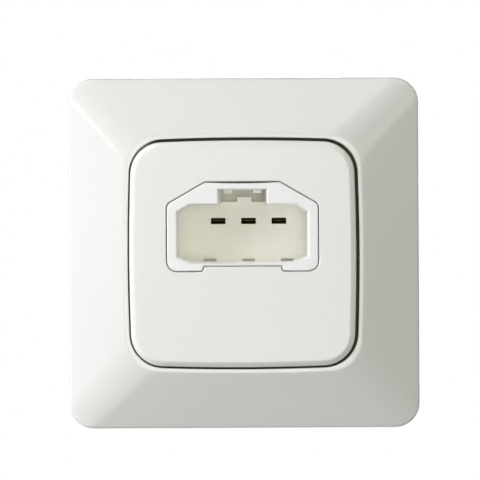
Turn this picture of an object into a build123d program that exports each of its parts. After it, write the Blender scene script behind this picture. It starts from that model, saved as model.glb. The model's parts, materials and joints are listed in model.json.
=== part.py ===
from build123d import *
import math
import os

# Lighting connection outlet for a flush wall box. Sizes are in millimetres.
# X points right, Z points up and the front faces -Y.
# A height is measured from the wall towards the front: height h lies at y = -h.

# Cover frame
frame_size = 85.0
frame_corner_radius = 6.0
frame_side_height = 3.0
frame_front_height = 9.7
frame_wall = 2.0
frame_edge_radius = 0.8
frame_crest_radius = 1.2
frame_lip_width = 0.95
frame_lip_corner_radius = 7.9
frame_lip_radius = 0.45
frame_collar_wall = 1.6
frame_ledge_width = 1.5
frame_ledge_thickness = 1.4
frame_rib_thickness = 1.2
frame_rib_spacing = 40.0
# The frame is only clamped, so it sits a little off centre within its play.
frame_shift_right = 0.2
frame_shift_up = 0.12

# Centre plate
plate_size = 55.0
plate_corner_radius = 7.8
plate_side_radius = 520.0
plate_front_height = 11.0
plate_edge_radius = 1.5
plate_wall = 1.8
plate_skirt_wall = 1.6
plate_skirt_rear = 5.4
plate_window_edge = 0.2

# Snap legs of the centre plate
leg_spacing_across = 24.0
leg_inset = 4.2
leg_width = 6.0
leg_thickness = 1.4
leg_hook_reach = 0.8
leg_hook_length = 2.2

# Plug cavity, an octagon that narrows by its draft angles towards the contact carrier
cavity_half_width = 15.95
cavity_top = 12.1
cavity_bottom = -2.3
cavity_depth = 12.3
cavity_draft_across = 2.3
cavity_draft_up = 1.8
cavity_top_chamfer_across = 3.2
cavity_top_chamfer_up = 1.8
cavity_bottom_chamfer_across = 3.6
cavity_bottom_chamfer_up = 1.46

# Latch window above the cavity, with two lugs that the plug's latch hooks behind
latch_width = 11.9
latch_rise = 3.6
latch_lug_width = 2.05
latch_lug_spacing = 7.12
latch_lug_drop = 1.1
latch_lug_rear = 2.0
latch_lug_length = 3.0
latch_lug_ramp = 1.5
latch_pocket_rise = 0.42
latch_pocket_depth = 3.0
latch_tongue_width = 3.6
latch_tongue_length = 1.2
latch_tongue_shift = 0.35

# White socket housing: a house-shaped tower round the cavity, a flange and a skirt behind the wall
rim_side_wall = 2.37
rim_bottom_wall = 1.84
rim_bridge = 1.65
rim_bridge_sag = 0.25
rim_roof_run = 9.25
rim_roof_rise = 5.35
rim_eave_radius = 1.6
rim_ridge_radius = 0.6
rim_bottom_radius = 2.4
rim_edge = 0.2
rim_notch_half_width = 9.6
rim_notch_wall = 0.56
rim_notch_radius = 0.5
rim_foot_radius = 0.7
flange_side_border = 3.5
flange_end_border = 2.75
flange_thickness = 1.8
flange_corner_radius = 3.0
skirt_wall = 1.3
skirt_length = 6.0
skirt_corner_radius = 2.0

# Contact carrier
pole_spacing = 7.38
pole_centre = 1.34
blade_height = 7.82
blade_slot_width = 3.55
blade_slot_height = 1.48
carrier_front_wall = 1.8
carrier_length = 17.6
throat_length = 6.4
throat_height = 3.8
chamber_width = 5.6
chamber_height = 10.4
scoop_width = 3.1
scoop_spacing = 9.4
scoop_rise = 1.05
scoop_depth = 1.6
core_wall = 1.6
core_depth = 13.0

# Contacts, folded from strip: two leaves that grip a blade and a doubled tail
leaf_width = 4.0
leaf_thickness = 0.6
leaf_bulge = 1.2
leaf_bulge_setback = 2.0
leaf_pinch = 0.5
leaf_pinch_setback = 1.4
leaf_flare = 1.1
leaf_bend_radius = 0.9
tail_width = 5.2

# Springs of the push-in clamps
spring_thickness = 0.35
spring_width = 4.6
spring_loop_radius = 0.8
spring_leg_angle = 45.0

# Rear cover with wire entries, release slots and screw bosses
cover_floor = 1.8
cover_edge = 0.8
wire_entry_size = 2.6
wire_entry_flare = 0.5
wire_entry_shift = -1.2
release_slot_width = 1.2
release_slot_shift = 1.6
boss_radius = 2.9
boss_length = 12.0
boss_edge = 0.5
boss_web = 2.4

# Support plate of sheet steel
sheet_thickness = 1.0
sheet_size = 71.0
sheet_corner_radius = 4.0
sheet_lip_height = 1.6
sheet_lip_length = 40.0
box_screw_spacing = 60.0
box_slot_width = 4.2
box_slot_length = 7.0

# Screws that clamp the housing and the rear cover to the support plate
screw_radius = 1.45
screw_length = 10.0
screw_head_radius = 2.7
screw_head_height = 1.9
screw_head_edge = 0.6
screw_drive_width = 0.7
screw_drive_length = 3.2
screw_drive_depth = 1.0

# Fits
frame_plate_gap = 0.6
plate_rim_gap = 0.2
sheet_skirt_gap = 0.3
carrier_gap = 0.1
contact_gap = 0.2
leaf_tip_gap = 0.4
leg_gap = 0.15
spring_gap = 0.3
spring_tip_gap = 0.05
screw_hole_gap = 0.25
screw_thread_gap = 0.05
screw_tip_gap = 1.5
boss_side_gap = 0.28

# Edges this close to a height are taken to lie at it.
same_height = 0.02

# Heights and sizes that follow from the ones above
frame_half = frame_size / 2
lip_half = plate_size / 2 + frame_plate_gap + frame_lip_width
frame_slope = (frame_front_height - frame_side_height) / (frame_half - lip_half)
latch_top = cavity_top + latch_rise
rim_half_width = cavity_half_width + rim_side_wall
rim_top = latch_top + rim_bridge
rim_bottom = cavity_bottom - rim_bottom_wall
rim_middle = (rim_top + rim_bottom) / 2
rim_eave = rim_top - rim_roof_rise
rim_ridge_half_width = rim_half_width - rim_roof_run
rim_notch_top = cavity_bottom - rim_notch_wall
draft_inset_across = cavity_depth * math.tan(math.radians(cavity_draft_across))
draft_inset_up = cavity_depth * math.tan(math.radians(cavity_draft_up))
collar_rear = plate_skirt_rear - frame_ledge_thickness
notch_rear = plate_front_height - plate_wall - plate_rim_gap
flange_front = sheet_thickness + flange_thickness
floor_height = plate_front_height - cavity_depth
skirt_rear = -skirt_length
carrier_inset = skirt_wall + carrier_gap
throat_front = floor_height - carrier_front_wall
chamber_front = throat_front - throat_length
carrier_rear = floor_height - carrier_length
cover_rear = carrier_rear - cover_floor
tail_thickness = 2 * leaf_thickness
chamber_top = blade_height + chamber_height / 2
chamber_bottom = blade_height - chamber_height / 2
wire_offset = (tail_thickness + wire_entry_size) / 2
pole_places = [pole_centre + pole_spacing * step for step in (-1, 0, 1)]
pole_names = ["left", "middle", "right"]
screw_offset = rim_half_width + boss_side_gap + boss_radius
screw_places = [(side * screw_offset, rim_middle) for side in (-1, 1)]
leg_spacing_up = plate_size - 2 * leg_inset


def prism(outline, rear, front):
    """Solid of one outline between two heights in front of the wall."""
    return extrude(Plane.XZ.offset(rear) * outline, front - rear)


def ruled(rear_outline, rear, front_outline, front):
    """Straight-ruled solid between two outlines at two heights."""
    sections = [Plane.XZ.offset(rear) * rear_outline, Plane.XZ.offset(front) * front_outline]
    return loft(sections, ruled=True)


def across(profile, width, place):
    """Solid of a side profile, drawn in height and Z, centred on one place along X."""
    side_plane = Plane(origin=(place, 0, 0), x_dir=(0, -1, 0), z_dir=(-1, 0, 0))
    return extrude(side_plane * profile, width / 2, both=True)


def rectangle_between(left, right, bottom, top):
    return Pos((left + right) / 2, (bottom + top) / 2) * Rectangle(right - left, top - bottom)


def round_corners(outline, points, radius):
    """Outline with the corners nearest to the given points rounded."""
    corners = [outline.vertices().sort_by_distance((x, z, 0))[0] for x, z in points]
    return fillet(corners, radius)


def edges_between(shape, rear, front):
    """Edges that lie wholly between two heights."""
    return [
        edge
        for edge in shape.edges()
        if -edge.bounding_box().max.Y >= rear and -edge.bounding_box().min.Y <= front
    ]


def edges_at(shape, height):
    return edges_between(shape, height - same_height, height + same_height)


def rounded_square(size, radius):
    return RectangleRounded(size, size, radius)


def bowed_square(inset, corner_radius):
    """Square with the bowed sides of the centre plate, drawn in or let out by an inset."""
    side_radius = plate_side_radius - inset
    reach = plate_side_radius - plate_size / 2
    side = Circle(side_radius)
    outline = (Pos(reach, 0) * side) & (Pos(-reach, 0) * side)
    outline = outline & (Pos(0, reach) * side)
    outline = outline & (Pos(0, -reach) * side)
    return fillet(outline.vertices(), corner_radius)


def plate_outline(inset):
    """Outline of the centre plate, drawn in or let out evenly, corners too."""
    return bowed_square(inset, plate_corner_radius - inset)


def frame_block(inset, drop):
    """Frame without its opening: upright sides, then slopes that rise to the lip round the opening."""
    foot = rounded_square(frame_size - 2 * inset, frame_corner_radius - inset)
    shoulder = frame_side_height + frame_slope * inset - drop
    lip = bowed_square(-frame_plate_gap - frame_lip_width, frame_lip_corner_radius)
    return prism(foot, 0, shoulder) + ruled(foot, shoulder, lip, frame_front_height - drop)


def make_cover_frame():
    beyond = 2 * frame_front_height
    block = fillet(edges_at(frame_block(0, 0), frame_side_height), frame_edge_radius)
    block = fillet(edges_at(block, frame_front_height), frame_crest_radius)
    block -= prism(plate_outline(-frame_plate_gap), 0, beyond)
    lip = block.faces().sort_by(Axis.Y)[0]
    block = fillet(lip.inner_wires()[0].edges(), frame_lip_radius)
    collar = plate_outline(-frame_plate_gap - frame_collar_wall)
    bar = Rectangle(frame_size, frame_rib_thickness)
    ribs = [
        Rot(0, 0, turn) * Pos(0, side * frame_rib_spacing / 2) * bar
        for turn in (0, 90)
        for side in (-1, 1)
    ]
    hollow = frame_block(frame_wall, frame_wall) - prism(collar, collar_rear, beyond)
    hollow -= prism(Sketch() + ribs, collar_rear, beyond)
    ledge = collar - plate_outline(frame_ledge_width - frame_plate_gap)
    block += prism(ledge, collar_rear, plate_skirt_rear)
    return Pos(frame_shift_right, 0, frame_shift_up) * (block - hollow)


def house_outline(grow, bottom_radius, eave_radius, ridge_radius, sag=0):
    """House outline of the socket, grown evenly, with an optional dip in its ridge."""
    roof = math.atan2(rim_top - rim_eave, rim_half_width - rim_ridge_half_width)
    side = rim_half_width + grow
    bottom = rim_bottom - grow
    top = rim_top + grow
    eave = rim_eave + grow * math.tan(math.pi / 4 - roof / 2)
    ridge = rim_ridge_half_width + grow * math.tan(roof / 2)
    right_wall = [(ridge, top), (side, eave), (side, bottom)]
    left_wall = [(-x, z) for x, z in reversed(right_wall)]
    walls = Polyline(right_wall + left_wall)
    if sag:
        crown = ThreePointArc((-ridge, top), (0, top - sag), (ridge, top))
    else:
        crown = Line((-ridge, top), (ridge, top))
    outline = make_face(walls.edges() + crown.edges())
    outline = round_corners(outline, [(-side, bottom), (side, bottom)], bottom_radius)
    outline = round_corners(outline, [(-side, eave), (side, eave)], eave_radius)
    return round_corners(outline, [(-ridge, top), (ridge, top)], ridge_radius)


def skirt_outline(grow):
    radius = skirt_corner_radius + grow
    return house_outline(grow, radius, radius, radius)


def rim_outline(grow, sag=0):
    return house_outline(
        grow, rim_bottom_radius + grow, rim_eave_radius + grow, rim_ridge_radius + grow, sag
    )


def notched_rim_outline(grow, sag=0):
    """Rim outline with the notch in its lower edge, which the plate's tongue fills."""
    half = rim_notch_half_width - grow
    bottom = rim_bottom - grow
    top = rim_notch_top - grow
    notch = rectangle_between(-half, half, 2 * bottom, top)
    notch = round_corners(notch, [(-half, top), (half, top)], rim_notch_radius - grow)
    outline = rim_outline(grow, sag) - notch
    return round_corners(outline, [(-half, bottom), (half, bottom)], rim_foot_radius + grow)


def leg_profile(end):
    """Side profile of a snap leg, whose hook reaches behind the support plate."""
    inner = (leg_spacing_up - leg_thickness) / 2
    outer = inner + leg_thickness
    root = plate_front_height - plate_wall
    points = [
        (root, inner),
        (root, outer),
        (0, outer),
        (0, outer + leg_hook_reach),
        (-leg_hook_length, outer - leg_hook_reach),
        (-leg_hook_length, inner),
    ]
    return make_face(Polyline([(height, end * z) for height, z in points], close=True))


def make_centre_plate():
    plate = prism(plate_outline(0), plate_skirt_rear, plate_front_height)
    plate = fillet(edges_at(plate, plate_front_height), plate_edge_radius)
    skin_rear = plate_front_height - plate_wall
    plate -= prism(plate_outline(plate_skirt_wall), plate_skirt_rear, skin_rear)
    plate -= prism(notched_rim_outline(plate_rim_gap), skin_rear, plate_front_height)
    window_edges = [
        edge
        for edge in edges_at(plate, plate_front_height)
        if max(abs(edge.center().X), abs(edge.center().Z)) < rim_half_width + 2 * plate_rim_gap
    ]
    plate = chamfer(window_edges, plate_window_edge)
    for end in (-1, 1):
        for side in (-1, 1):
            plate += across(leg_profile(end), leg_width, side * leg_spacing_across / 2)
    return plate


def cavity_outline(inset_across, inset_up):
    """Octagon of the plug cavity, drawn in by its draft."""
    half = cavity_half_width - inset_across
    top = cavity_top - inset_up
    bottom = cavity_bottom + inset_up
    points = [
        (half, bottom + cavity_bottom_chamfer_up),
        (half, top - cavity_top_chamfer_up),
        (half - cavity_top_chamfer_across, top),
        (cavity_top_chamfer_across - half, top),
        (-half, top - cavity_top_chamfer_up),
        (-half, bottom + cavity_bottom_chamfer_up),
        (cavity_bottom_chamfer_across - half, bottom),
        (half - cavity_bottom_chamfer_across, bottom),
    ]
    return make_face(Polyline(points, close=True))


def latch_window_outline(inset_across, inset_up):
    half = latch_width / 2 - inset_across
    return rectangle_between(-half, half, blade_height, latch_top - inset_up)


def latch_lug_profile():
    """Side profile of a latch lug: steep behind, a ramp in front."""
    front = latch_lug_rear + latch_lug_length
    lower = latch_top - latch_lug_drop
    points = [
        (latch_lug_rear, latch_top),
        (latch_lug_rear, lower),
        (front - latch_lug_ramp, lower),
        (front, latch_top),
    ]
    return make_face(Polyline(points, close=True))


def make_outlet_housing():
    tower = prism(rim_outline(0, rim_bridge_sag), sheet_thickness, notch_rear)
    tower += prism(notched_rim_outline(0, rim_bridge_sag), notch_rear, plate_front_height)
    tower = chamfer(edges_at(tower, plate_front_height), rim_edge)
    flange_width = 2 * (screw_offset + flange_side_border)
    flange_length = rim_top - rim_bottom + 2 * flange_end_border
    flange = Pos(0, rim_middle) * RectangleRounded(flange_width, flange_length, flange_corner_radius)
    housing = tower + prism(flange, sheet_thickness, flange_front)
    housing += prism(skirt_outline(0), skirt_rear, sheet_thickness)
    for outline in (cavity_outline, latch_window_outline):
        floor = outline(draft_inset_across, draft_inset_up)
        mouth = outline(-rim_edge, -rim_edge)
        housing -= ruled(floor, floor_height, outline(0, 0), plate_front_height - rim_edge)
        housing -= ruled(outline(0, 0), plate_front_height - rim_edge, mouth, plate_front_height)
    housing -= prism(skirt_outline(-skirt_wall), skirt_rear, floor_height)
    for side in (-1, 1):
        housing += across(latch_lug_profile(), latch_lug_width, side * latch_lug_spacing / 2)
    for x, z in screw_places:
        hole = Pos(x, z) * Circle(screw_radius + screw_hole_gap)
        housing -= prism(hole, sheet_thickness, flange_front)
    return housing


def scoop_profile():
    """Side profile of a slanting scoop in the lower edge of the carrier's face."""
    top = cavity_bottom + scoop_rise
    bottom = rim_bottom + skirt_wall
    points = [(floor_height, top), (floor_height, bottom), (floor_height - scoop_depth, bottom)]
    return make_face(Polyline(points, close=True))


def make_contact_carrier():
    carrier = prism(skirt_outline(-carrier_inset), carrier_rear, floor_height)
    core_front = carrier_rear + core_depth
    lower_edge = rim_bottom + carrier_inset + core_wall
    for place in pole_places:
        slot = Pos(place, blade_height) * Rectangle(blade_slot_width, blade_slot_height)
        throat = Pos(place, blade_height) * Rectangle(leaf_width + 2 * contact_gap, throat_height)
        chamber = Pos(place, blade_height) * Rectangle(chamber_width, chamber_height)
        core = rectangle_between(
            place - chamber_width / 2, place + chamber_width / 2, lower_edge, chamber_bottom - core_wall
        )
        carrier -= prism(slot, throat_front, floor_height)
        carrier -= prism(throat, chamber_front, throat_front)
        carrier -= prism(chamber, carrier_rear, chamber_front)
        carrier -= prism(core, carrier_rear, core_front)
    outer = rim_half_width - carrier_inset - core_wall
    side_clearance = chamber_width / 2 + core_wall
    shoulder = rim_eave - carrier_inset - core_wall
    left_core = rectangle_between(-outer, pole_places[0] - side_clearance, lower_edge, shoulder)
    right_core = rectangle_between(pole_places[-1] + side_clearance, outer, lower_edge, shoulder)
    carrier -= prism(left_core, carrier_rear, core_front)
    carrier -= prism(right_core, carrier_rear, core_front)
    pocket_bottom = cavity_top + latch_pocket_rise
    tongue_top = pocket_bottom + latch_tongue_length
    pocket_half = latch_width / 2 - draft_inset_across
    pocket = rectangle_between(-pocket_half, pocket_half, pocket_bottom, rim_top)
    tongue_left = latch_tongue_shift - latch_tongue_width / 2
    tongue = rectangle_between(tongue_left, tongue_left + latch_tongue_width, pocket_bottom, tongue_top)
    carrier -= prism(pocket - tongue, floor_height - latch_pocket_depth, floor_height)
    for step in (-1, 0, 1):
        carrier -= across(scoop_profile(), scoop_width, pole_centre + step * scoop_spacing)
    return carrier


def leaf_path(side):
    """Centre line of one leaf, in height and Z: root, bulge, pinch and flared tip."""
    tip = throat_front - leaf_tip_gap
    points = [
        (chamber_front, leaf_thickness / 2),
        (chamber_front + leaf_bulge_setback, leaf_bulge),
        (tip - leaf_pinch_setback, (leaf_pinch + leaf_thickness) / 2),
        (tip, leaf_flare),
    ]
    corners = [(height, blade_height + side * z) for height, z in points]
    return FilletPolyline(corners, radius=leaf_bend_radius)


def make_contact(place):
    tail = Pos(place, blade_height) * Rectangle(tail_width, tail_thickness)
    contact = prism(tail, carrier_rear, chamber_front)
    for side in (-1, 1):
        contact += across(trace(leaf_path(side), leaf_thickness), leaf_width, place)
    return contact


def make_upper_spring(place):
    """Clamp spring above a tail: a base along the chamber's wall, a loop and a slanting leg."""
    lean = math.radians(spring_leg_angle)
    base_z = chamber_top - spring_thickness / 2
    loop_height = carrier_rear + spring_gap + spring_loop_radius + spring_thickness / 2
    tail_top = blade_height + tail_thickness / 2
    tip_z = tail_top + spring_tip_gap + spring_thickness / 2 * math.cos(lean)
    leg_start_z = base_z - spring_loop_radius * (1 + math.cos(lean))
    leg_length = (leg_start_z - tip_z) / math.sin(lean)
    base = Line((chamber_front - spring_gap, base_z), (loop_height, base_z))
    loop = JernArc(base @ 1, base % 1, spring_loop_radius, 180 - spring_leg_angle)
    leg = Line(loop @ 1, (loop @ 1) + (loop % 1) * leg_length)
    return across(trace(base + loop + leg, spring_thickness), spring_width, place)


def make_rear_cover():
    cover = prism(skirt_outline(0), cover_rear, skirt_rear)
    cover = chamfer(edges_at(cover, cover_rear), cover_edge)
    cover -= prism(skirt_outline(-skirt_wall), carrier_rear, skirt_rear)
    for x, z in screw_places:
        side = math.copysign(1, x)
        web_inner = side * (rim_half_width - skirt_wall / 2)
        web = rectangle_between(min(x, web_inner), max(x, web_inner), z - boss_web / 2, z + boss_web / 2)
        pilot = Pos(x, z) * Circle(screw_radius + screw_thread_gap)
        boss = prism(Pos(x, z) * Circle(boss_radius), -boss_length, 0)
        cover += chamfer(edges_at(boss, -boss_length), boss_edge)
        cover += prism(web, boss_edge - boss_length, skirt_rear)
        cover -= prism(pilot, flange_front - screw_length - screw_tip_gap, 0)
    for place in pole_places:
        for side in (-1, 1):
            z = blade_height + side * wire_offset
            entry = Pos(place + wire_entry_shift, z) * Rectangle(wire_entry_size, wire_entry_size)
            mouth_size = wire_entry_size + 2 * wire_entry_flare
            mouth = Pos(place + wire_entry_shift, z) * Rectangle(mouth_size, wire_entry_size)
            release = Pos(place + release_slot_shift, z) * Rectangle(release_slot_width, wire_entry_size)
            cover -= prism(entry, cover_rear, carrier_rear)
            cover -= ruled(mouth, cover_rear, entry, cover_rear + wire_entry_flare)
            cover -= prism(release, cover_rear, carrier_rear)
    return cover


def make_support_plate():
    sheet = rounded_square(sheet_size, sheet_corner_radius) - skirt_outline(sheet_skirt_gap)
    slot = SlotOverall(box_slot_length, box_slot_width)
    for turn in (0, 90, 180, 270):
        sheet -= Rot(0, 0, turn) * Pos(box_screw_spacing / 2, 0) * slot
    for x, z in screw_places:
        sheet -= Pos(x, z) * Circle(screw_radius + screw_hole_gap)
    leg_slot_height = leg_thickness + leg_hook_reach + 2 * leg_gap
    leg_slot = Rectangle(leg_width + 2 * leg_gap, leg_slot_height)
    slot_centre = (leg_spacing_up - leg_hook_reach) / 2
    for end in (-1, 1):
        for side in (-1, 1):
            sheet -= Pos(side * leg_spacing_across / 2, end * slot_centre) * leg_slot
    plate = prism(sheet, 0, sheet_thickness)
    for side in (-1, 1):
        edge = side * sheet_size / 2
        lip = Pos(edge - side * sheet_thickness / 2, 0) * Rectangle(sheet_thickness, sheet_lip_length)
        plate += prism(lip, 0, sheet_thickness + sheet_lip_height)
    return plate


def make_screw(x, z):
    head_front = flange_front + screw_head_height
    head = prism(Circle(screw_head_radius), flange_front, head_front)
    head = chamfer(edges_at(head, head_front), screw_head_edge)
    drive = Rectangle(screw_drive_length, screw_drive_width)
    drive += Rectangle(screw_drive_width, screw_drive_length)
    head -= prism(drive, head_front - screw_drive_depth, head_front)
    shank = prism(Circle(screw_radius), flange_front - screw_length, flange_front)
    return Pos(x, 0, z) * (head + shank)


def make_parts():
    parts = {
        "cover_frame": make_cover_frame(),
        "centre_plate": make_centre_plate(),
        "outlet_housing": make_outlet_housing(),
        "contact_carrier": make_contact_carrier(),
        "rear_cover": make_rear_cover(),
        "support_plate": make_support_plate(),
        "housing_screws": Compound([make_screw(x, z) for x, z in screw_places]),
    }
    for name, place in zip(pole_names, pole_places):
        upper = make_upper_spring(place)
        parts[f"{name}_contact"] = make_contact(place)
        parts[f"{name}_upper_spring"] = upper
        parts[f"{name}_lower_spring"] = mirror(upper, about=Plane.XY.offset(blade_height))
    return parts


os.makedirs("parts", exist_ok=True)
for name, part in make_parts().items():
    export_step(part, f"parts/{name}.step")
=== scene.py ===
import json
import math

import bmesh
import bpy
from mathutils import Matrix, Quaternion, Vector

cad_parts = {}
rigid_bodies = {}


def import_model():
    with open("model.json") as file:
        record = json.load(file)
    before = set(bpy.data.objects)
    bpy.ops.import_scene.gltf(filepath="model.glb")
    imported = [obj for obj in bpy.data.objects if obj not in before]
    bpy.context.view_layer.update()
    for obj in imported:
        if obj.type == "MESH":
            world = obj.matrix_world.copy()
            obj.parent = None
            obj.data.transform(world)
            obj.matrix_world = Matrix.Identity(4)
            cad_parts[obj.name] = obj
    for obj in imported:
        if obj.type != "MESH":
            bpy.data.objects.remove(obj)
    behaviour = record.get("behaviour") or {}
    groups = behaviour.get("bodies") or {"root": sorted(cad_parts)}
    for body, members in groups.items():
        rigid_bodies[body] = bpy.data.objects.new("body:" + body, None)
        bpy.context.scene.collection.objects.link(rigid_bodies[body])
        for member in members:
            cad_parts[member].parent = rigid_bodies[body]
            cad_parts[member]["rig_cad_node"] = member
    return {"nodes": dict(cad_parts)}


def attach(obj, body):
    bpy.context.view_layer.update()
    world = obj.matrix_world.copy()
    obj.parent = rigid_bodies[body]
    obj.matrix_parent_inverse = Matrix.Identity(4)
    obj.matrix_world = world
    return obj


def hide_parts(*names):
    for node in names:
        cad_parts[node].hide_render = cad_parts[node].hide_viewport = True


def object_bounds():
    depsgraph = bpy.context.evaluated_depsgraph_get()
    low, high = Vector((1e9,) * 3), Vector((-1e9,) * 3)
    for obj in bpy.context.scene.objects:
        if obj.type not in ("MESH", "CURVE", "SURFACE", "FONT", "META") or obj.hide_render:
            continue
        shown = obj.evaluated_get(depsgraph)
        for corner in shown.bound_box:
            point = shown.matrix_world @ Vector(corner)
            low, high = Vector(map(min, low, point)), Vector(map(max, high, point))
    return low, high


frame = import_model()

scene = bpy.context.scene
scene.view_settings.view_transform = "Standard"
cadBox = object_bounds()
nodes = frame["nodes"]
millimetre = 0.001
print("frame loaded:", len(nodes), "nodes")


def deselectAll():
    bpy.ops.object.select_all(action="DESELECT")


def activate(obj):
    deselectAll()
    obj.select_set(True)
    bpy.context.view_layer.objects.active = obj


# camera, standing almost square in front of the outlet

cameraSettings = {
    "azimuth": 0.5,
    "elevation": 0.85,
    "roll": -0.3,
    "lens": 900.0,
    "sensor": 36.0,
    "distance": 2.914,
    "clip": (0.05, 30.0),
    "aim": (-0.71, -3.0, 3.25),  # millimetres
}


def addCamera(settings):
    azimuth = math.radians(settings["azimuth"])
    elevation = math.radians(settings["elevation"])
    aim = Vector(settings["aim"]) * millimetre
    back = Vector((
        math.sin(azimuth) * math.cos(elevation),
        -math.cos(azimuth) * math.cos(elevation),
        math.sin(elevation),
    ))
    bpy.ops.object.camera_add(location=aim + back * settings["distance"])
    camera = bpy.context.active_object
    camera.name = "photoCamera"
    turn = Quaternion((0, 0, 1), math.radians(settings["roll"]))
    camera.rotation_mode = "QUATERNION"
    camera.rotation_quaternion = back.to_track_quat("Z", "Y") @ turn
    camera.data.lens = settings["lens"]
    camera.data.sensor_width = settings["sensor"]
    camera.data.clip_start, camera.data.clip_end = settings["clip"]
    scene.camera = camera


deselectAll()
addCamera(cameraSettings)
print("camera placed")


# soft studio light: softboxes in front and behind, and panels round the front axis
# (tilt is the angle from that axis, turn the angle round it, from straight up to the right)

warm = (1.0, 0.99, 0.93)
amber = (1.0, 0.975, 0.84)
cool = (0.93, 0.95, 1.0)
lampSettings = {
    "frontSoftbox": {
        "tilt": 0, "turn": 0, "away": 1.2, "size": (0.7, 0.7), "power": 3.1, "tint": warm,
    },
    "lowerFront": {
        "tilt": 20, "turn": 135, "away": 1.2, "size": (0.35, 0.35), "power": 0.85, "tint": warm,
    },
    "upperFront": {
        "tilt": 36, "turn": 20, "away": 1.0, "size": (0.35, 0.3), "power": 0.34, "tint": warm,
    },
    "rightFront": {
        "tilt": 36, "turn": 75, "away": 1.0, "size": (0.35, 0.3), "power": 0.48, "tint": amber,
    },
    "leftPanel": {
        "tilt": 74, "turn": -86, "away": 0.45, "size": (0.3, 0.16), "power": 1.53, "tint": cool,
    },
    "lowerLeftGloss": {
        "tilt": 53, "turn": -142, "away": 0.45, "size": (0.2, 0.079), "power": 0.25, "tint": cool,
    },
    "leftGloss": {
        "tilt": 53, "turn": -60, "away": 0.45, "size": (0.193, 0.079), "power": 0.15, "tint": cool,
    },
    "creaseGloss": {
        "tilt": 52, "turn": -74, "away": 0.45, "size": (0.03, 0.08), "power": 0.05, "tint": cool,
    },
    "upperLeftGloss": {
        "tilt": 53, "turn": -30, "away": 0.6, "size": (0.257, 0.105), "power": 0.75, "tint": cool,
    },
    "topGloss": {
        "tilt": 53, "turn": 0, "away": 0.6, "size": (0.257, 0.105), "power": 0.25, "tint": cool,
    },
    "upperRightGloss": {
        "tilt": 53, "turn": 30, "away": 0.6, "size": (0.257, 0.105), "power": 0.34, "tint": amber,
    },
    "rearSoftbox": {
        "tilt": 155, "turn": 20, "away": 1.2, "size": (0.9, 0.9), "power": 7.0, "tint": warm,
    },
}


# a panel's length runs round the front axis, so that the sloping faces mirror it along its middle
def addLamp(name, settings):
    tilt = math.radians(settings["tilt"])
    turn = math.radians(settings["turn"])
    aside = math.sin(tilt)
    toward = Vector((aside * math.sin(turn), -math.cos(tilt), aside * math.cos(turn)))
    bpy.ops.object.light_add(type="AREA", location=toward * settings["away"])
    lamp = bpy.context.active_object
    lamp.name = name
    along = Vector((1, 0, 0))
    if settings["tilt"]:  # a lamp straight in front has no way round the axis
        along = toward.cross(Vector((0, 1, 0))).normalized()
    turned = Matrix((along, toward.cross(along), toward)).transposed()
    lamp.rotation_mode = "QUATERNION"
    lamp.rotation_quaternion = turned.to_quaternion()
    lamp.data.shape = "RECTANGLE"
    lamp.data.size, lamp.data.size_y = settings["size"]
    lamp.data.energy = settings["power"]
    lamp.data.color = settings["tint"]
    lamp.visible_camera = False


for lampName, settings in lampSettings.items():
    addLamp(lampName, settings)
print("lamps placed")


# nodes for the world, the floor and the finishes

def connect(tree, output, node, name):
    tree.links.new(output, node.inputs[name])


# a number is set on the node's socket, another node's output is linked to it
def feed(tree, value, node, name):
    if isinstance(value, float):
        node.inputs[name].default_value = value
    else:
        connect(tree, value, node, name)


def addMath(tree, operation, *values):
    step = tree.nodes.new("ShaderNodeMath")
    step.operation = operation
    for place, value in enumerate(values):
        feed(tree, value, step, place)
    return step.outputs[0]


def addRange(tree, value, low, high, toLow=0.0, toHigh=1.0, kind="LINEAR"):
    spread = tree.nodes.new("ShaderNodeMapRange")
    spread.interpolation_type = kind
    connect(tree, value, spread, "Value")
    feed(tree, low, spread, "From Min")
    feed(tree, high, spread, "From Max")
    feed(tree, toLow, spread, "To Min")
    feed(tree, toHigh, spread, "To Max")
    return spread.outputs["Result"]


# a colour Mix node has its two colours at inputs 6 and 7, and the result at output 2
def addColourMix(tree, share, first, second, kind="MIX"):
    mix = tree.nodes.new("ShaderNodeMix")
    mix.data_type = "RGBA"
    mix.blend_type = kind
    feed(tree, share, mix, 0)
    connect(tree, first, mix, 6)
    connect(tree, second, mix, 7)
    return mix.outputs[2]


def addShaderMix(tree, share, first, second):
    mix = tree.nodes.new("ShaderNodeMixShader")
    connect(tree, share, mix, 0)
    connect(tree, first.outputs[0], mix, 1)
    connect(tree, second.outputs[0], mix, 2)
    return mix.outputs[0]


def objectPlace(tree):
    return tree.nodes.new("ShaderNodeTexCoord").outputs["Object"]


def objectAxes(tree):
    split = tree.nodes.new("ShaderNodeSeparateXYZ")
    connect(tree, objectPlace(tree), split, "Vector")
    return [split.outputs[axis] for axis in "XYZ"]


# floor and white background

stageSettings = {
    "worldFill": 0.01,
    "floorTint": (0.42, 0.42, 0.42, 1.0),
    "floorRoughness": 0.9,
    "floorSize": 6.0,
    "floorDrop": 0.5,  # the outlet hangs as on a wall, above the floor
    "floorWhite": 0.97,
}
white = (1.0, 1.0, 1.0, 1.0)


# 1 for what the camera sees directly, through clear pieces or in a gloss
def addSeenShare(tree):
    path = tree.nodes.new("ShaderNodeLightPath").outputs
    direct = addMath(tree, "MAXIMUM", path["Is Camera Ray"], path["Is Transmission Ray"])
    return addMath(tree, "MAXIMUM", direct, path["Is Glossy Ray"])


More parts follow.
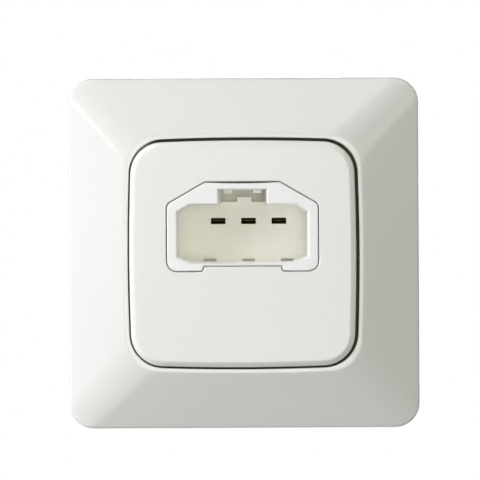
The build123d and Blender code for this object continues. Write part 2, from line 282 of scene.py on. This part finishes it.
def addWorld(settings):
    world = bpy.data.worlds.new("studioWorld")
    world.use_nodes = True
    scene.world = world
    tree = world.node_tree
    tree.nodes.clear()
    fill = tree.nodes.new("ShaderNodeBackground")
    fill.inputs["Color"].default_value = white
    fill.inputs["Strength"].default_value = settings["worldFill"]
    backdrop = tree.nodes.new("ShaderNodeBackground")
    backdrop.inputs["Color"].default_value = white
    output = tree.nodes.new("ShaderNodeOutputWorld")
    connect(tree, addShaderMix(tree, addSeenShare(tree), fill, backdrop), output, "Surface")


def addFloor(settings):
    deselectAll()
    height = cadBox[0][2] - settings["floorDrop"]
    bpy.ops.mesh.primitive_plane_add(size=settings["floorSize"], location=(0, 0, height))
    floor = bpy.context.active_object
    floor.name = "floor"
    material = bpy.data.materials.new("paleFloor")
    material.use_nodes = True
    tree = material.node_tree
    surface = tree.nodes["Principled BSDF"]
    surface.inputs["Base Color"].default_value = settings["floorTint"]
    surface.inputs["Roughness"].default_value = settings["floorRoughness"]
    backdrop = tree.nodes.new("ShaderNodeEmission")
    backdrop.inputs["Color"].default_value = white
    share = addMath(tree, "MULTIPLY", addSeenShare(tree), settings["floorWhite"])
    mixed = addShaderMix(tree, share, surface, backdrop)
    connect(tree, mixed, tree.nodes["Material Output"], "Surface")
    floor.data.materials.append(material)


addWorld(stageSettings)
addFloor(stageSettings)
print("floor and background placed")


# shared effects: moulded plastic, rolled metal, painted shade in the gap and painted light and
# shade across a flat

effectSettings = {
    "noiseRoughness": 0.55,
    "cloudBand": (0.35, 0.65),  # noise values that run from tint to shade
    "grainBand": (0.3, 0.7),  # noise values that run from smooth to dull
    "streakStretch": (0.06, 1.0, 1.0),
    "crystalShare": 0.35,
    "patternBand": (0.25, 0.75),  # pattern values that run from smooth to dull
}


def newGroup(name, inputs, outputs):
    group = bpy.data.node_groups.new(name, "ShaderNodeTree")
    for label, kind, value in inputs:
        socket = group.interface.new_socket(name=label, in_out="INPUT", socket_type=kind)
        socket.default_value = value
    for label, kind in outputs:
        group.interface.new_socket(name=label, in_out="OUTPUT", socket_type=kind)
    entry = group.nodes.new("NodeGroupInput")
    leave = group.nodes.new("NodeGroupOutput")
    return group, entry.outputs, leave


def addNoise(tree, vector, scale, detail):
    noise = tree.nodes.new("ShaderNodeTexNoise")
    noise.inputs["Detail"].default_value = detail
    noise.inputs["Roughness"].default_value = effectSettings["noiseRoughness"]
    connect(tree, vector, noise, "Vector")
    connect(tree, scale, noise, "Scale")
    return noise.outputs["Fac"]


surfaceOutputs = [
    ("Color", "NodeSocketColor"), ("Roughness", "NodeSocketFloat"), ("Height", "NodeSocketFloat"),
]


# cloudy tint, spark-eroded grain and a roughness that drifts over the moulding
def makeMouldedGroup():
    group, entry, leave = newGroup("mouldedPlastic", [
        ("Tint", "NodeSocketColor", (0.8, 0.8, 0.8, 1.0)),
        ("Shade", "NodeSocketColor", (0.78, 0.78, 0.77, 1.0)),
        ("Cloud Scale", "NodeSocketFloat", 40.0),
        ("Grain Scale", "NodeSocketFloat", 2600.0),
        ("Smooth", "NodeSocketFloat", 0.25),
        ("Dull", "NodeSocketFloat", 0.32),
    ], surfaceOutputs)
    place = objectPlace(group)
    clouds = addNoise(group, place, entry["Cloud Scale"], detail=3.0)
    grain = addNoise(group, place, entry["Grain Scale"], detail=2.0)
    share = addRange(group, clouds, *effectSettings["cloudBand"])
    gloss = addRange(group, grain, *effectSettings["grainBand"], entry["Smooth"], entry["Dull"])
    connect(group, addColourMix(group, share, entry["Tint"], entry["Shade"]), leave, "Color")
    connect(group, gloss, leave, "Roughness")
    connect(group, grain, leave, "Height")
    return group


# rolling streaks along X and a faint crystal pattern of the plating
def makeRolledGroup():
    group, entry, leave = newGroup("rolledMetal", [
        ("Tint", "NodeSocketColor", (0.6, 0.6, 0.6, 1.0)),
        ("Shade", "NodeSocketColor", (0.5, 0.5, 0.5, 1.0)),
        ("Streak Scale", "NodeSocketFloat", 900.0),
        ("Crystal Scale", "NodeSocketFloat", 260.0),
        ("Smooth", "NodeSocketFloat", 0.25),
        ("Dull", "NodeSocketFloat", 0.42),
    ], surfaceOutputs)
    place = objectPlace(group)
    stretch = group.nodes.new("ShaderNodeMapping")
    stretch.inputs["Scale"].default_value = effectSettings["streakStretch"]
    connect(group, place, stretch, "Vector")
    streaks = addNoise(group, stretch.outputs["Vector"], entry["Streak Scale"], detail=3.0)
    crystals = group.nodes.new("ShaderNodeTexVoronoi")
    connect(group, place, crystals, "Vector")
    connect(group, entry["Crystal Scale"], crystals, "Scale")
    pattern = group.nodes.new("ShaderNodeMix")  # a Mix node of values: inputs 2 and 3, output 0
    pattern.inputs[0].default_value = effectSettings["crystalShare"]
    connect(group, streaks, pattern, 2)
    connect(group, crystals.outputs["Color"], pattern, 3)
    share = pattern.outputs[0]
    gloss = addRange(group, share, *effectSettings["patternBand"], entry["Smooth"], entry["Dull"])
    connect(group, addColourMix(group, share, entry["Tint"], entry["Shade"]), leave, "Color")
    connect(group, gloss, leave, "Roughness")
    connect(group, streaks, leave, "Height")
    return group


gapShadeSettings = {
    # the colour of the painted shade in the gap
    "tint": (0.26, 0.24, 0.17, 1.0),
    "cornerShare": 0.557,  # of across and upward together, so that the gap's round corners fit
    "litCornerShare": 0.75,  # of the painted shade is left out in the upper left corner, as painted light where light fills the gap
    "litCornerDistance": (0.003, 0.007),  # metres off the diagonal, where it ends
}


# painted shade that darkens the narrow gap round the centre plate, from a little below its upper
# edges, with less of it in the upper left corner
def makeGapShadeGroup(settings):
    group, entry, leave = newGroup("paintedGapShading", [
        ("Color", "NodeSocketColor", (0.8, 0.8, 0.8, 1.0)),
        ("Roughness", "NodeSocketFloat", 0.2),
        ("Painted Shade", "NodeSocketColor", settings["tint"]),
        ("Start", "NodeSocketFloat", 0.009),
        ("Full", "NodeSocketFloat", 0.008),
        ("End", "NodeSocketFloat", 0.0045),
        ("Half Size", "NodeSocketFloat", 0.04),
    ], [("Color", "NodeSocketColor"), ("Roughness", "NodeSocketFloat")])
    x, y, z = objectAxes(group)
    height = addMath(group, "MULTIPLY", y, -1.0)
    across = addMath(group, "ABSOLUTE", x)
    upward = addMath(group, "ABSOLUTE", z)
    both = addMath(group, "ADD", across, upward)
    corner = addMath(group, "MULTIPLY", both, settings["cornerShare"])
    reach = addMath(group, "MAXIMUM", addMath(group, "MAXIMUM", across, upward), corner)
    inside = addMath(group, "LESS_THAN", reach, entry["Half Size"])
    above = addMath(group, "GREATER_THAN", height, entry["End"])
    depth = addRange(group, height, entry["Start"], entry["Full"], kind="SMOOTHSTEP")
    within = addMath(group, "MULTIPLY", addMath(group, "MULTIPLY", inside, above), depth)
    offDiagonal = addMath(group, "ABSOLUTE", addMath(group, "ADD", x, z))
    near, far = settings["litCornerDistance"]
    litCorner = addRange(group, offDiagonal, near, far, settings["litCornerShare"], 0.0, "SMOOTHSTEP")
    upperLeft = addMath(group, "GREATER_THAN", z, x)
    kept = addMath(group, "SUBTRACT", 1.0, addMath(group, "MULTIPLY", upperLeft, litCorner))
    share = addMath(group, "MULTIPLY", within, kept)
    connect(group, addColourMix(group, share, entry["Color"], entry["Painted Shade"]), leave, "Color")
    connect(group, addMath(group, "MAXIMUM", entry["Roughness"], share), leave, "Roughness")
    return group


# painted shade and painted light: greys a colour a little towards the lower right of a flat front
# and can make it paler elsewhere, to even out the light on it
def makePaintedCornerShadeGroup():
    group, entry, leave = newGroup("paintedCornerShading", [
        ("Color", "NodeSocketColor", (0.8, 0.8, 0.8, 1.0)),
        ("Left", "NodeSocketFloat", -0.016),
        ("Right", "NodeSocketFloat", 0.016),
        ("Top", "NodeSocketFloat", 0.012),
        ("Bottom", "NodeSocketFloat", -0.002),
        ("Top Share", "NodeSocketFloat", 0.4),
        ("Lit Tone", "NodeSocketFloat", 1.0),
        ("Shaded Tone", "NodeSocketFloat", 0.9),
    ], [("Color", "NodeSocketColor")])
    x, _, z = objectAxes(group)
    across = addRange(group, x, entry["Left"], entry["Right"])
    down = addRange(group, z, entry["Top"], entry["Bottom"], entry["Top Share"])
    share = addMath(group, "MULTIPLY", across, down)
    tone = addRange(group, share, 0.0, 1.0, entry["Lit Tone"], entry["Shaded Tone"])
    connect(group, addColourMix(group, 1.0, entry["Color"], tone, "MULTIPLY"), leave, "Color")
    return group


mouldedGroup = makeMouldedGroup()
rolledGroup = makeRolledGroup()
gapShadeGroup = makeGapShadeGroup(gapShadeSettings)
paintedCornerShadeGroup = makePaintedCornerShadeGroup()


def addEffect(tree, group, values):
    effect = tree.nodes.new("ShaderNodeGroup")
    effect.node_tree = group
    for label, value in values.items():
        effect.inputs[label].default_value = (*value, 1.0) if isinstance(value, tuple) else value
    return effect


def makeFinish(name, group, settings):
    material = bpy.data.materials.new(name)
    material.use_nodes = True
    tree = material.node_tree
    surface = tree.nodes["Principled BSDF"]
    effect = addEffect(tree, group, settings["effect"])
    colour, roughness = effect.outputs["Color"], effect.outputs["Roughness"]
    # the tone attribute: painted highlight on the frame's lip and painted light on the housing's
    # cavity walls
    if "toned" in settings:
        tone = tree.nodes.new("ShaderNodeAttribute")
        tone.attribute_name = "tone"
        colour = addColourMix(tree, 1.0, colour, tone.outputs["Color"], "MULTIPLY")
    # painted shade and painted light across a flat front
    if "paintedCornerShade" in settings:
        paintedCornerShade = addEffect(tree, paintedCornerShadeGroup, settings["paintedCornerShade"])
        connect(tree, colour, paintedCornerShade, "Color")
        colour = paintedCornerShade.outputs["Color"]
    # painted shade in the gap round the centre plate
    if "gapShade" in settings:
        gapShade = addEffect(tree, gapShadeGroup, settings["gapShade"])
        connect(tree, colour, gapShade, "Color")
        connect(tree, roughness, gapShade, "Roughness")
        colour, roughness = gapShade.outputs["Color"], gapShade.outputs["Roughness"]
    bump = tree.nodes.new("ShaderNodeBump")
    bump.inputs["Strength"].default_value = settings["bumpStrength"]
    bump.inputs["Distance"].default_value = settings["bumpDepth"] * millimetre
    connect(tree, effect.outputs["Height"], bump, "Height")
    connect(tree, colour, surface, "Base Color")
    connect(tree, roughness, surface, "Roughness")
    connect(tree, bump.outputs["Normal"], surface, "Normal")
    surface.inputs["Metallic"].default_value = settings.get("metallic", 0.0)
    return material


def paint(obj, material):
    obj.data.materials.clear()
    obj.data.materials.append(material)


print("effects made")


# shaping of the CAD nodes' copies, with lengths in millimetres and angles in degrees

copySettings = {
    "merge": 0.002,
    "slack": 0.001,  # for points and faces that lie on a limit
    "flatAngle": 0.2,  # between faces that are one flat
    "parallel": 0.99999,  # cosine between the normals of one flat
    "sharpAngle": 32,
    "segments": 2,
    "smoothAngle": 60,
}


# the value at a distance, from a profile of (distance, value) pairs
def readProfile(profile, distance):
    for (near, nearValue), (far, farValue) in zip(profile, profile[1:]):
        if distance <= far:
            return nearValue + (farValue - nearValue) * (distance - near) / (far - near)
    return profile[-1][1]


# turns the even round of the plate's edge into a soft slope: each ring of points gets a new height
def slopeEdge(piece, settings):
    radius = settings["round"]
    foot = settings["front"] - radius
    for vertex in piece.data.vertices:
        x, y, z = (place / millimetre for place in vertex.co)
        rise = -y - foot
        if rise < -copySettings["slack"] or max(abs(x), abs(z)) < settings["inner"]:
            continue
        inset = radius - math.sqrt(max(0.0, radius ** 2 - rise ** 2))
        downward = -z / max(abs(x), copySettings["slack"])
        lower = min(1.0, max(0.0, (downward - settings["lowerFrom"]) / settings["lowerSpan"]))
        side = readProfile(settings["profile"], inset)
        drop = side + (readProfile(settings["lowerProfile"], inset) - side) * lower
        vertex.co.y = (drop - settings["front"]) * millimetre


# an attribute that the finish multiplies its colour by; it carries painted highlight and painted
# light
def addTone(piece):
    tone = piece.data.attributes.new("tone", "FLOAT", "POINT")
    for point in tone.data:
        point.value = 1.0
    return tone


# distance outwards from the frame's opening, whose sides bow out and whose corners are round
def fromOpening(x, z, settings):
    x = abs(x / millimetre - settings["shift"][0])
    z = abs(z / millimetre - settings["shift"][1])
    bow, corner = settings["bow"], settings["corner"]
    middle = bow - settings["opening"]  # from the opening's centre back to that of a side's arc
    side = bow - corner
    turn = (math.sqrt(2 * side ** 2 - middle ** 2) - middle) / 2  # middle of a corner's arc
    lean = turn / (turn + middle)
    if x - turn > (z - turn) * lean and z - turn > (x - turn) * lean:
        return math.hypot(x - turn, z - turn) - corner
    return max(math.hypot(x + middle, z), math.hypot(x, z + middle)) - bow


# leans the frame's lip in towards the plate, and makes it paler with a painted highlight along the
# lip
def leanLip(piece, settings):
    tone = addTone(piece)
    for vertex in piece.data.vertices:
        away = fromOpening(vertex.co.x, vertex.co.z, settings)
        if -vertex.co.y < settings["foot"] * millimetre or away < -settings["slack"]:
            continue
        away = max(away, 0.0)
        tone.data[vertex.index].value = readProfile(settings["tone"], away)
        if away < settings["width"]:
            drop = readProfile(settings["profile"], away)
            vertex.co.y = (drop - settings["front"]) * millimetre


# gives the points within a box their own tone: painted light on the walls of the housing's cavity
def toneWithin(piece, settings):
    tone = addTone(piece)
    low, high = settings["box"]
    for vertex in piece.data.vertices:
        if all(a < place / millimetre < b for a, place, b in zip(low, vertex.co, high)):
            tone.data[vertex.index].value = settings["tone"]


# the faces that lie in one flat with the first
def gatherFlat(first):
    normal, place = first.normal.copy(), first.calc_center_median()
    flat = [first]
    for face in flat:  # it grows while it is walked
        for edge in face.edges:
            for other in edge.link_faces:
                off = abs((other.calc_center_median() - place).dot(normal))
                level = off < copySettings["slack"] * millimetre
                even = other.normal.dot(normal) > copySettings["parallel"]
                if level and even and other not in flat:
                    flat.append(other)
    return flat


# fills each flat with holes anew from its outline, because rounding leaves it badly split
def refillFlats(piece):
    mesh = bmesh.new()
    mesh.from_mesh(piece.data)
    for first in [face for face in mesh.faces if len(face.verts) > 4]:
        if not first.is_valid:
            continue
        normal = first.normal.copy()
        flat = gatherFlat(first)
        edges = dict.fromkeys(edge for face in flat for edge in face.edges)
        inner = [edge for edge in edges if sum(face in flat for face in edge.link_faces) > 1]
        outline = [edge for edge in edges if edge not in inner]
        bmesh.ops.delete(mesh, geom=flat, context="FACES_ONLY")
        bmesh.ops.delete(mesh, geom=inner, context="EDGES")
        filled = bmesh.ops.triangle_fill(mesh, edges=outline, use_beauty=True, normal=normal)
        for face in filled["geom"]:
            if isinstance(face, bmesh.types.BMFace) and face.normal.dot(normal) < 0:
                face.normal_flip()
    mesh.to_mesh(piece.data)
    mesh.free()


def roundEdges(piece, width):
    bpy.ops.object.mode_set(mode="EDIT")
    bpy.ops.mesh.dissolve_limited(angle_limit=math.radians(copySettings["flatAngle"]))
    bpy.ops.object.mode_set(mode="OBJECT")
    bevel = piece.modifiers.new("roundedEdges", "BEVEL")
    bevel.width = width * millimetre
    bevel.segments = copySettings["segments"]
    bevel.limit_method = "ANGLE"
    bevel.angle_limit = math.radians(copySettings["sharpAngle"])
    bevel.use_clamp_overlap = False
    bevel.loop_slide = False
    bevel.miter_outer = "MITER_ARC"
    bpy.ops.object.modifier_apply(modifier=bevel.name)
    refillFlats(piece)


# a CAD node's merged copy, shaped as its settings say, with even shading on its flats and rounds
def shapedCopy(nodeName, pieceName, settings):
    activate(nodes[nodeName])
    bpy.ops.object.duplicate()
    piece = bpy.context.active_object
    piece.name = pieceName
    del piece["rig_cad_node"]
    bpy.ops.mesh.customdata_custom_splitnormals_clear()
    bpy.ops.object.mode_set(mode="EDIT")
    bpy.ops.mesh.select_all(action="SELECT")
    bpy.ops.mesh.remove_doubles(threshold=copySettings["merge"] * millimetre)
    bpy.ops.object.mode_set(mode="OBJECT")
    if "slope" in settings:
        slopeEdge(piece, settings["slope"])
    if "lip" in settings:
        leanLip(piece, settings["lip"])
    if "edge" in settings:
        roundEdges(piece, settings["edge"])
    if "paler" in settings:
        toneWithin(piece, settings["paler"])
    bpy.ops.object.shade_smooth_by_angle(angle=math.radians(copySettings["smoothAngle"]))
    even = piece.modifiers.new("evenShading", "WEIGHTED_NORMAL")
    even.keep_sharp = True
    bpy.ops.object.modifier_apply(modifier=even.name)
    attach(piece, "root")
    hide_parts(nodeName)
    return piece


# cover frame: satin moulding in warm white, with a painted highlight along its lip and painted
# shade in the gap round the plate

frameSettings = {
    "lip": {
        "shift": (0.2, 0.12),  # the opening's centre
        "opening": 28.1,  # half of its width
        "bow": 520.6,  # radius of its sides
        "corner": 8.4,
        "front": 9.7,
        "foot": 9.2,  # points that lie lower stay
        "width": 0.72,
        "slack": 0.02,
        "profile": ((0.0, 0.25), (0.05, 0.15), (0.12, 0.11), (0.3, 0.06), (0.5, 0.02), (0.72, 0.0)),
        # the lip's tone is a painted highlight
        "tone": ((0.0, 1.17), (0.45, 1.17), (0.85, 1.0)),
    },
    "effect": {
        "Tint": (0.76, 0.757, 0.722), "Shade": (0.745, 0.742, 0.708), "Cloud Scale": 30.0,
        "Grain Scale": 2600.0, "Smooth": 0.14, "Dull": 0.2,
    },
    "toned": True,
    # painted shade in the gap round the centre plate
    "gapShade": {"Start": 0.009, "Full": 0.0083, "End": 0.0045, "Half Size": 0.02875},  # metres
    "bumpStrength": 0.12, "bumpDepth": 0.02,
}
coverFrame = shapedCopy("cover_frame", "coverFrame", frameSettings)
paint(coverFrame, makeFinish("frameMoulding", mouldedGroup, frameSettings))
print("cover frame finished")

# centre plate: satin moulding in warm white, with painted shade down its sides in the gap

plateSettings = {
    "edge": 0.1,
    "slope": {
        "front": 11.0,
        "round": 1.5,  # the edge's radius in the CAD
        "inner": 22.5,  # points further in stay
        "profile": (
            (0.0, 0.82), (0.06, 0.68), (0.14, 0.58), (0.25, 0.5),
            (0.9, 0.17), (1.1, 0.08), (1.3, 0.03), (1.5, 0.0),
        ),
        "lowerProfile": (
            (0.0, 1.2), (0.06, 1.1), (0.14, 1.0), (0.3, 0.82),
            (0.8, 0.27), (1.0, 0.12), (1.25, 0.03), (1.5, 0.0),
        ),
        "lowerFrom": 0.71,  # down divided by aside, where the bottom edge begins to take over
        "lowerSpan": 0.7,
    },
    "effect": {
        "Tint": (0.814, 0.811, 0.775), "Shade": (0.798, 0.795, 0.76), "Cloud Scale": 30.0,
        "Grain Scale": 2600.0, "Smooth": 0.2, "Dull": 0.28,
    },
    # painted shade down the plate's sides in the gap round it
    "gapShade": {"Start": 0.0101, "Full": 0.0094, "End": 0.0045, "Half Size": 0.04},  # metres
    "bumpStrength": 0.12, "bumpDepth": 0.02,
}
plate = shapedCopy("centre_plate", "centrePlate", plateSettings)
paint(plate, makeFinish("plateMoulding", mouldedGroup, plateSettings))
print("centre plate finished")

# socket housing: neutral white, with painted light on the walls in the cavity, where little light
# gets in

housingSettings = {
    "edge": 0.05,
    # the cavity walls' tone is painted light
    "paler": {"box": ((-17.0, -10.93, -3.2), (17.0, 1.0, 15.9)), "tone": 1.1},
    "effect": {
        "Tint": (0.88, 0.88, 0.876), "Shade": (0.865, 0.865, 0.861), "Cloud Scale": 60.0,
        "Grain Scale": 2200.0, "Smooth": 0.3, "Dull": 0.4,
    },
    "toned": True,
    "bumpStrength": 0.12, "bumpDepth": 0.02,
}
housing = shapedCopy("outlet_housing", "outletHousing", housingSettings)
paint(housing, makeFinish("housingMoulding", mouldedGroup, housingSettings))
print("socket housing finished")

# contact carrier: matt cream, the floor of the cavity, with painted light towards its left and
# painted shade towards its lower right

carrierSettings = {
    "edge": 0.08,
    "effect": {
        "Tint": (0.94, 0.92, 0.8), "Shade": (0.92, 0.9, 0.78), "Cloud Scale": 70.0,
        "Grain Scale": 1800.0, "Smooth": 0.45, "Dull": 0.58,
    },
    # painted light towards the left and painted shade towards the lower right of the carrier's
    # front
    "paintedCornerShade": {
        "Left": -0.016, "Right": 0.016, "Top": 0.012, "Bottom": -0.002,  # metres
        "Top Share": 0.4, "Lit Tone": 1.05, "Shaded Tone": 0.86,
    },
    "bumpStrength": 0.2, "bumpDepth": 0.02,
}
carrier = shapedCopy("contact_carrier", "contactCarrier", carrierSettings)
paint(carrier, makeFinish("carrierMoulding", mouldedGroup, carrierSettings))
print("contact carrier finished")

# rear cover: matt pale grey

rearCoverSettings = {
    "edge": 0.1,
    "effect": {
        "Tint": (0.62, 0.62, 0.6), "Shade": (0.58, 0.58, 0.56), "Cloud Scale": 60.0,
        "Grain Scale": 1500.0, "Smooth": 0.45, "Dull": 0.6,
    },
    "bumpStrength": 0.25, "bumpDepth": 0.03,
}
rearCover = shapedCopy("rear_cover", "rearCover", rearCoverSettings)
paint(rearCover, makeFinish("coverMoulding", mouldedGroup, rearCoverSettings))
print("rear cover finished")

# support plate: zinc-plated sheet

sheetSettings = {
    "edge": 0.12,
    "effect": {
        "Tint": (0.62, 0.63, 0.65), "Shade": (0.5, 0.51, 0.53), "Streak Scale": 900.0,
        "Crystal Scale": 260.0, "Smooth": 0.28, "Dull": 0.45,
    },
    "bumpStrength": 0.15, "bumpDepth": 0.02, "metallic": 1.0,
}
sheet = shapedCopy("support_plate", "supportPlate", sheetSettings)
paint(sheet, makeFinish("platedSheet", rolledGroup, sheetSettings))
print("support plate finished")

# screws, contacts and springs keep their CAD shapes

poles = ("left", "middle", "right")
smallMetal = {
    "screwSteel": {
        "nodes": ["housing_screws"],
        "effect": {
            "Tint": (0.66, 0.66, 0.64), "Shade": (0.54, 0.54, 0.52), "Streak Scale": 1500.0,
            "Crystal Scale": 900.0, "Smooth": 0.25, "Dull": 0.4,
        },
        "bumpStrength": 0.15, "bumpDepth": 0.01, "metallic": 1.0,
    },
    # the brass is darker than bare brass, as painted shade in the deep slots
    "contactBrass": {
        "nodes": [pole + "_contact" for pole in poles],
        "effect": {
            "Tint": (0.42, 0.34, 0.16), "Shade": (0.31, 0.25, 0.11), "Streak Scale": 1800.0,
            "Crystal Scale": 700.0, "Smooth": 0.25, "Dull": 0.42,
        },
        "bumpStrength": 0.12, "bumpDepth": 0.01, "metallic": 1.0,
    },
    "springSteel": {
        "nodes": [pole + row for pole in poles for row in ("_upper_spring", "_lower_spring")],
        "effect": {
            "Tint": (0.58, 0.58, 0.58), "Shade": (0.46, 0.46, 0.47), "Streak Scale": 2400.0,
            "Crystal Scale": 1200.0, "Smooth": 0.18, "Dull": 0.32,
        },
        "bumpStrength": 0.1, "bumpDepth": 0.01, "metallic": 1.0,
    },
}
for finishName, settings in smallMetal.items():
    finish = makeFinish(finishName, rolledGroup, settings)
    for nodeName in settings["nodes"]:
        paint(nodes[nodeName], finish)
print("screws, contacts and springs finished")
